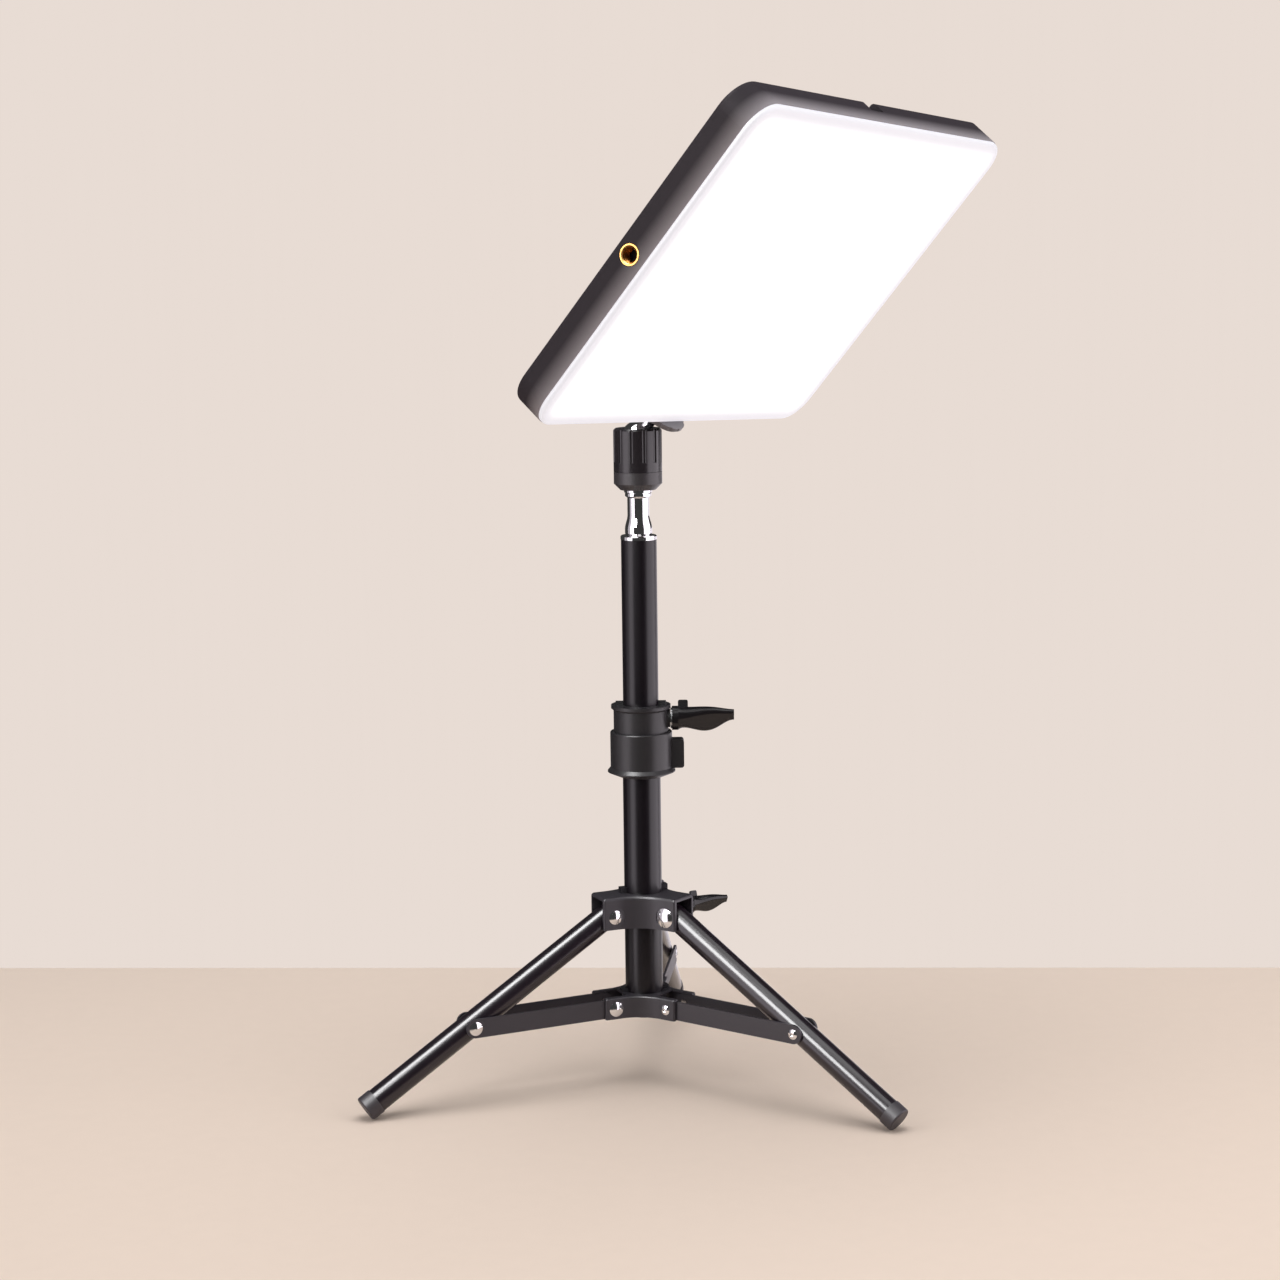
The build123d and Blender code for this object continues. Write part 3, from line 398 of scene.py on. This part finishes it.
class PANEL_LIGHT_OT_hubs(bpy.types.Operator):
    """Powder coated hubs and struts, nylon bushings, chromed rivets"""
    bl_idname = "panel_light.hubs"
    bl_label = "Hubs and struts"

    def execute(self, context):
        paint = settings("light_paint")
        coat = moulded("hub_powder_coat", paint.hub, 0.43, grain=1300, relief=0.035, spread=0.1)
        assign(coat, "upper_hub", "lower_hub", "strut_bars_a", "strut_bars_b", "strut_bars_c")
        nylon = moulded("bushing_nylon", scaled(paint.hub, 0.45), 0.4)
        assign(nylon, "upper_hub_bushing", "lower_hub_bushing")
        chrome = metal("rivet_chrome", paint.chrome, 0.09)
        assign(chrome, "leg_pivot_rivets", "lower_hub_rivets",
               "strut_rivets_a", "strut_rivets_b", "strut_rivets_c")
        return {"FINISHED"}


class PANEL_LIGHT_OT_collar(bpy.types.Operator):
    """Matte moulded height collar with its guide, pads and pinch bolt"""
    bl_idname = "panel_light.collar"
    bl_label = "Height collar"

    def execute(self, context):
        paint = settings("light_paint")
        plastic = moulded("collar_plastic", paint.collar, 0.36, grain=1700, relief=0.03,
                          Specular_IOR_Level=0.4)
        assign(plastic, "height_collar")
        nylon = moulded("pad_nylon", scaled(paint.collar, 0.6), 0.45)
        assign(nylon, "collar_guide", "collar_clamp_pad", "hub_clamp_pad")
        steel = metal("plated_steel", paint.steel, 0.22)
        assign(steel, "collar_pinch_bolt", "collar_knob_washer", "collar_knob_screw",
               "hub_knob_screw")
        return {"FINISHED"}


class PANEL_LIGHT_OT_knobs(bpy.types.Operator):
    """Glossy moulded wing knobs"""
    bl_idname = "panel_light.knobs"
    bl_label = "Wing knobs"

    def execute(self, context):
        paint = settings("light_paint")
        plastic = moulded("knob_plastic", paint.knob, 0.2, grain=1500, relief=0.006,
                          Specular_IOR_Level=0.4)
        assign(plastic, "collar_wing_knob", "hub_wing_knob")
        return {"FINISHED"}


# ---------------------------------------------------------------- ball head

class PANEL_LIGHT_OT_head(bpy.types.Operator):
    """Chromed spigot and ball, ball head, glossy lock ring and thumb disc"""
    bl_idname = "panel_light.head"
    bl_label = "Ball head"

    def execute(self, context):
        paint = settings("light_paint")
        chrome = metal("spigot_chrome", paint.chrome, 0.06, (30, 30, 2600))
        assign(chrome, "spigot", "mast_cap", "ball_stem")
        base = moulded("head_alloy", paint.head, 0.36, grain=1400, relief=0.015)
        assign(base, "head_base", "ball_seat")
        ring = moulded("lock_ring_plastic", paint.ring, 0.22, grain=1500, relief=0.005)
        assign(ring, "lock_ring")
        disc = moulded("thumb_disc_plastic", paint.disc, 0.34, grain=1200, relief=0.02)
        assign(disc, "lock_disc")
        return {"FINISHED"}


# ---------------------------------------------------------------- panel

class PANEL_LIGHT_OT_housing(bpy.types.Operator):
    """Moulded housing with painted light: its walls' colour lightens towards the lit cover"""
    bl_idname = "panel_light.housing"
    bl_label = "Panel housing"

    def execute(self, context):
        paint, sizes = settings("light_paint"), settings("light_panel")
        finish = Finish("housing_plastic", Specular_IOR_Level=0.03)
        back = PANEL.col[1].to_3d()
        front = PANEL @ Vector((0, SHELL_FRONT, 0))
        depth = finish.along(back, front)
        # Painted light: over the last fade of depth the wall's colour goes to the light shell
        # colour, in place of the cover's light falling on it
        glow = finish.maths("POWER", finish.larger(1 - depth / sizes.fade, 0), 1.15)
        cloud = finish.noise(14, 3)
        fine = finish.noise(1300, 2)
        tint = finish.mix(cloud, scaled(paint.shell_dark, 0.9), scaled(paint.shell_dark, 1.1))
        tint = finish.mix(glow, tint, paint.shell_painted_spill)
        finish.paint(Base_Color=tint, Roughness=0.5 + (fine - 0.5) * 0.12 + (cloud - 0.5) * 0.1)
        finish.bump(fine, 0.03 * MM)
        assign(finish, "rear_shell")
        steel = metal("screw_steel", paint.steel, 0.3)
        assign(steel, "back_screws", "chassis")
        return {"FINISHED"}


class PANEL_LIGHT_OT_cover(bpy.types.Operator):
    """Frosted cover that glows, and the light guide parts behind it"""
    bl_idname = "panel_light.cover"
    bl_label = "Lit cover"

    def execute(self, context):
        paint, sizes = settings("light_paint"), settings("light_panel")
        finish = Finish("frosted_cover", Emission_Strength=1.0)
        centre = PANEL @ Vector((COVER_LOW + COVER_HIGH) / 2)
        half = (COVER_HIGH - COVER_LOW) / 2
        right = abs(finish.along(PANEL.col[0].to_3d(), centre))
        up = abs(finish.along(PANEL.col[2].to_3d(), centre))
        corner = sizes.corner
        past_x = finish.larger(right - half[0] + corner, 0)
        past_z = finish.larger(up - half[2] + corner, 0)
        inside = corner - finish.maths("SQRT", past_x * past_x + past_z * past_z)
        lit = finish.rise(inside, sizes.rim * 0.35, sizes.rim * 1.35)
        grain = finish.noise(1600, 2)
        rim = paint.cover_rim
        finish.paint(
            Base_Color=finish.mix(grain, scaled(rim, 0.42), scaled(rim, 0.46)),
            Roughness=0.45 + grain * 0.1,
            Emission_Color=finish.mix(lit, scaled(rim, 0.68), paint.cover))
        finish.bump(grain, 0.02 * MM)
        assign(finish, "diffuser")
        sheet = moulded("guide_sheet", (0.8, 0.8, 0.82), 0.3, spread=0.04)
        assign(sheet, "light_guide", "reflector_sheet", "led_strips")
        return {"FINISHED"}


class PANEL_LIGHT_OT_inserts(bpy.types.Operator):
    """Brass inserts with a turned thread in the side bores, the thread in a darker brass as painted
    shade
    """
    bl_idname = "panel_light.inserts"
    bl_label = "Threaded inserts"

    def execute(self, context):
        paint, sizes = settings("light_paint"), settings("light_panel")
        brass = metal("insert_brass", paint.brass, 0.28, (500, 500, 500))
        assign(brass, "side_insert_left", "side_insert_right", "bottom_insert")
        # Painted shade: the thread deep in the bore is given the darker brass
        bore_shade = metal("thread_brass", paint.brass_bore_shade, 0.25)

        # Millimetres; heights are measured from the insert's mouth.
        bore, skin = 4.3, 0.2
        start, end, run_out = -0.7, -8.3, 0.5
        rows, columns = 150, 72
        profile = np.concatenate([
            np.stack([np.full(rows, bore), np.linspace(start, end, rows)], -1),
            [(bore + skin, end), (bore + skin, start)]])

        def thread(radius, height, angles):
            """Ridge of a cosine wave that climbs one pitch a turn, fading at both ends."""
            phase = height / (sizes.thread_pitch / MM) - angles / (2 * np.pi)
            ridge = 0.5 + 0.5 * np.cos(2 * np.pi * phase)
            fade_in = np.clip((start - height) / run_out, 0, 1)
            fade_out = np.clip((height - end) / run_out, 0, 1)
            inner = radius < bore + skin / 2
            return radius - inner * (fade_in * fade_out) * ridge * sizes.thread_depth / MM

        grid = turned_grid(profile, turning(columns), thread)
        for side, node in ((-1, "side_insert_left"), (1, "side_insert_right")):
            low, high = local_box(node, PANEL)
            centre = (low + high) / 2
            mouth = high[0] if side > 0 else low[0]
            place = PANEL @ facing((mouth, centre[1], centre[2]), (side, 0, 0))
            ring_piece(node + "_thread", grid, place, bore_shade, "panel")
        return {"FINISHED"}


class PANEL_LIGHT_OT_controls(bpy.types.Operator):
    """Buttons on the back, the power inlet and the driver board"""
    bl_idname = "panel_light.controls"
    bl_label = "Controls"

    def execute(self, context):
        paint = settings("light_paint")
        rubber = moulded("button_rubber", scaled(paint.disc, 0.8), 0.5, grain=1500, relief=0.02)
        assign(rubber, "button_1", "button_2", "button_3", "button_4")
        board = moulded("board_lacquer", (0.02, 0.09, 0.04), 0.35)
        assign(board, "driver_board")
        inlet = metal("inlet_nickel", paint.steel, 0.25)
        assign(inlet, "dc_inlet")
        return {"FINISHED"}


# ---------------------------------------------------------------- stage

CARD_AWAY = 1.4            # distance from the column to every card
CARD_FOOT = -1.2           # height of a card's lower edge
CARD_TINT = (1, 0.93, 0.99)
FLOOR_REACH = 6
WALL_REACH, WALL_TOP = 5, 5
WALL_LEFT, WALL_RIGHT = 0.477, 0.019    # how far behind the column the wall's two ends stand
CAMERA_PLACE = (0, -1.5737, 0.4956)     # from the column's foot
CAMERA_DOWN = 8.421                     # degrees that the camera looks down
CAMERA_TURN = -0.0125                   # radians that it is turned about its own Z
LENS, SENSOR = 77.34, 36


def sheet(name, corners, material):
    """Flat four cornered sheet of the stage, placed from the foot of the column."""
    mesh = bpy.data.meshes.new(name)
    mesh.from_pydata([COLUMN + Vector(c) for c in corners], [], [(0, 1, 2, 3)])
    mesh.materials.append(material)
    made = bpy.data.objects.new(name, mesh)
    bpy.context.scene.collection.objects.link(made)
    return made


def hide(thing, *kinds):
    """Leaves an object out of the named kinds of ray."""
    for kind in kinds:
        setattr(thing, "visible_" + kind, False)


def softbox(name, place, aim, size, glow):
    """Area light of a brightness, placed from the column's foot, turned to a point, unseen."""
    data = bpy.data.lights.new(name, "AREA")
    data.shape = "RECTANGLE"
    data.size, data.size_y = size
    data.energy = glow * math.pi * size[0] * size[1]
    made = bpy.data.objects.new(name, data)
    made.location = COLUMN + Vector(place)
    made.rotation_euler = (Vector(aim) - Vector(place)).to_track_quat("-Z", "Y").to_euler()
    hide(made, "camera")
    bpy.context.scene.collection.objects.link(made)
    return made


def card(name, azimuth, half_angle, top, glow):
    """Upright glowing card beside the stand that only mirror-like reflections see."""
    finish = Finish(name + "_glow")
    lamp = finish.node("Emission", {}, {"Color": CARD_TINT, "Strength": glow})
    finish.surface(lamp.outputs[0])
    finish.material.cycles.emission_sampling = "NONE"
    half = CARD_AWAY * math.tan(math.radians(half_angle))
    turn = Matrix.Rotation(math.radians(azimuth), 4, "Z")
    corners = [turn @ Vector((x, -CARD_AWAY, z)) for x, z in (
        (-half, CARD_FOOT), (half, CARD_FOOT), (half, top), (-half, top))]
    hide(sheet(name, corners, finish.material), "camera", "diffuse", "shadow", "transmission")


class WorldFinish(Finish):
    """The same node helpers for the world."""

    def __init__(self, world):
        world.use_nodes = True
        self.tree = world.node_tree
        self.tree.nodes.clear()


def lay_floor(look):
    """Paper floor: far off it is left out of reflections, and further off out of the view."""
    floor = Finish("floor_paper", Roughness=0.7, Specular_IOR_Level=0.1)
    grain = floor.noise(90, 3)
    floor.paint(Base_Color=floor.mix(grain, scaled(look.floor, 0.985), scaled(look.floor, 1.015)))
    way = floor.node("VectorMath", {"operation": "LENGTH"}, {0: floor.place})
    away = Number(floor, way.outputs["Value"])
    rays = floor.node("LightPath").outputs
    mirrored = floor.rise(away, 0.16, 0.28) * Number(floor, rays["Is Glossy Ray"])
    distant = floor.rise(away, 0.75, 1.6) * Number(floor, rays["Is Camera Ray"])
    open_floor = floor.node("MixShader", {}, {0: mirrored + distant})
    floor.feed(open_floor.inputs[1], floor.shader.outputs[0])
    floor.feed(open_floor.inputs[2], floor.node("BsdfTransparent").outputs[0])
    floor.surface(open_floor.outputs[0])
    reach = FLOOR_REACH
    sheet("floor", [(-reach, -reach, 0), (reach, -reach, 0), (reach, reach, 0),
                    (-reach, reach, 0)], floor.material)


def hang_wall(look):
    """Evenly lit wall behind the stand, clear from its back."""
    wall = Finish("wall_paint")
    weave = wall.noise(1.0, 2, (260, 260, 5))
    tint = wall.mix(weave, scaled(look.wall, 0.994), scaled(look.wall, 1.004))
    glow = wall.node("Emission", {}, {"Color": tint, "Strength": 1.0})
    clear = wall.node("BsdfTransparent")
    behind = wall.node("NewGeometry").outputs["Backfacing"]
    blend = wall.node("MixShader", {}, {0: behind})
    wall.feed(blend.inputs[1], glow.outputs[0])
    wall.feed(blend.inputs[2], clear.outputs[0])
    wall.surface(blend.outputs[0])
    left, right = (-WALL_REACH, WALL_LEFT), (WALL_REACH, WALL_RIGHT)
    backdrop = sheet("wall", [(*left, 0), (*right, 0), (*right, WALL_TOP), (*left, WALL_TOP)],
                     wall.material)
    hide(backdrop, "diffuse", "glossy", "shadow")


def light_world(scene, look):
    """Even light from all round, weaker in reflections, with the wall's colour in view."""
    world = scene.world or bpy.data.worlds.new("studio")
    scene.world = world
    sky = WorldFinish(world)
    rays = sky.node("LightPath").outputs
    seen = sky.larger(rays["Is Camera Ray"], rays["Is Transmission Ray"])
    strength = look.fill + (look.mirrored - look.fill) * Number(sky, rays["Is Glossy Ray"])
    even = sky.node("Background", {}, {"Color": (1, 0.985, 0.97), "Strength": strength})
    plain = sky.node("Background", {}, {"Color": look.wall, "Strength": 1.0})
    both = sky.node("MixShader", {}, {0: seen})
    sky.feed(both.inputs[1], even.outputs[0])
    sky.feed(both.inputs[2], plain.outputs[0])
    sky.feed(sky.node("OutputWorld").inputs["Surface"], both.outputs[0])


def place_lights(look):
    """Cards for the reflections, then the softboxes, of which two shine on the legs."""
    for name, azimuth, half_angle, top, part in (
            ("left_card", -58, 16, 1.6, 1), ("far_left_card", -87, 13, 1.6, 0.25),
            ("right_card", 82, 35, 1.6, 1), ("back_card", 150, 26, 0.25, 0.45)):
        card(name, azimuth, half_angle, top, look.cards * part)
    for side in (-1, 1):
        lamp = softbox("side_softbox", (1.45 * side, -0.55, 0.8), (0, 0, 0.35), (1.2, 1.4),
                       look.side_light)
        hide(lamp, "glossy")
    for name, place in (("high_light", (-0.63, -0.95, 0.89)), ("over_light", (-0.47, -0.43, 1.33))):
        hide(softbox(name, place, (0, 0, 0.08), (0.6, 0.6), look.leg_light), "diffuse")
    softbox("top_softbox", (0.1, -0.2, 1.7), (0, 0, 0.26), (1.3, 1.3), look.top_light)


def set_camera(scene):
    """Camera in front of the stand, looking slightly down."""
    data = bpy.data.cameras.new("camera")
    data.lens, data.sensor_width = LENS, SENSOR
    data.clip_start, data.clip_end = 0.05, 50
    camera = bpy.data.objects.new("camera", data)
    pitch = Matrix.Rotation(math.radians(90 - CAMERA_DOWN), 4, "X")
    turn = Matrix.Rotation(CAMERA_TURN, 4, "Z")
    camera.matrix_world = Matrix.Translation(COLUMN + Vector(CAMERA_PLACE)) @ (pitch @ turn)
    scene.collection.objects.link(camera)
    scene.camera = camera


class PANEL_LIGHT_OT_stage(bpy.types.Operator):
    """Floor, wall, soft lights and the camera"""
    bl_idname = "panel_light.stage"
    bl_label = "Stage"

    def execute(self, context):
        scene, look = context.scene, settings("light_stage")
        scene.view_settings.view_transform = "Standard"
        lay_floor(look)
        hang_wall(look)
        light_world(scene, look)
        place_lights(look)
        set_camera(scene)
        return {"FINISHED"}


# ---------------------------------------------------------------- add-on

OPERATORS = (
    PANEL_LIGHT_OT_tubes, PANEL_LIGHT_OT_hubs, PANEL_LIGHT_OT_collar, PANEL_LIGHT_OT_knobs,
    PANEL_LIGHT_OT_head, PANEL_LIGHT_OT_housing, PANEL_LIGHT_OT_cover, PANEL_LIGHT_OT_inserts,
    PANEL_LIGHT_OT_controls, PANEL_LIGHT_OT_stage)


class PANEL_LIGHT_PT_sidebar(bpy.types.Panel):
    """Sizes, colours and the makers of the panel light's pieces"""
    bl_idname = "PANEL_LIGHT_PT_sidebar"
    bl_label = "Panel Light"
    bl_space_type = "VIEW_3D"
    bl_region_type = "UI"
    bl_category = "Panel Light"

    def draw(self, context):
        for name, group in GROUPS.items():
            box = self.layout.box()
            for key in group.__annotations__:
                box.prop(getattr(context.scene, name), key)
        for operator in OPERATORS:
            self.layout.operator(operator.bl_idname)


def register():
    for made in (*GROUPS.values(), *OPERATORS, PANEL_LIGHT_PT_sidebar):
        bpy.utils.register_class(made)
    for name, group in GROUPS.items():
        setattr(bpy.types.Scene, name, bpy.props.PointerProperty(type=group))


def unregister():
    for name in GROUPS:
        delattr(bpy.types.Scene, name)
    for made in reversed((*GROUPS.values(), *OPERATORS, PANEL_LIGHT_PT_sidebar)):
        bpy.utils.unregister_class(made)


def main():
    register()
    for operator in OPERATORS:
        family, name = operator.bl_idname.split(".")
        getattr(getattr(bpy.ops, family), name)()


if __name__ == "__main__":
    main()
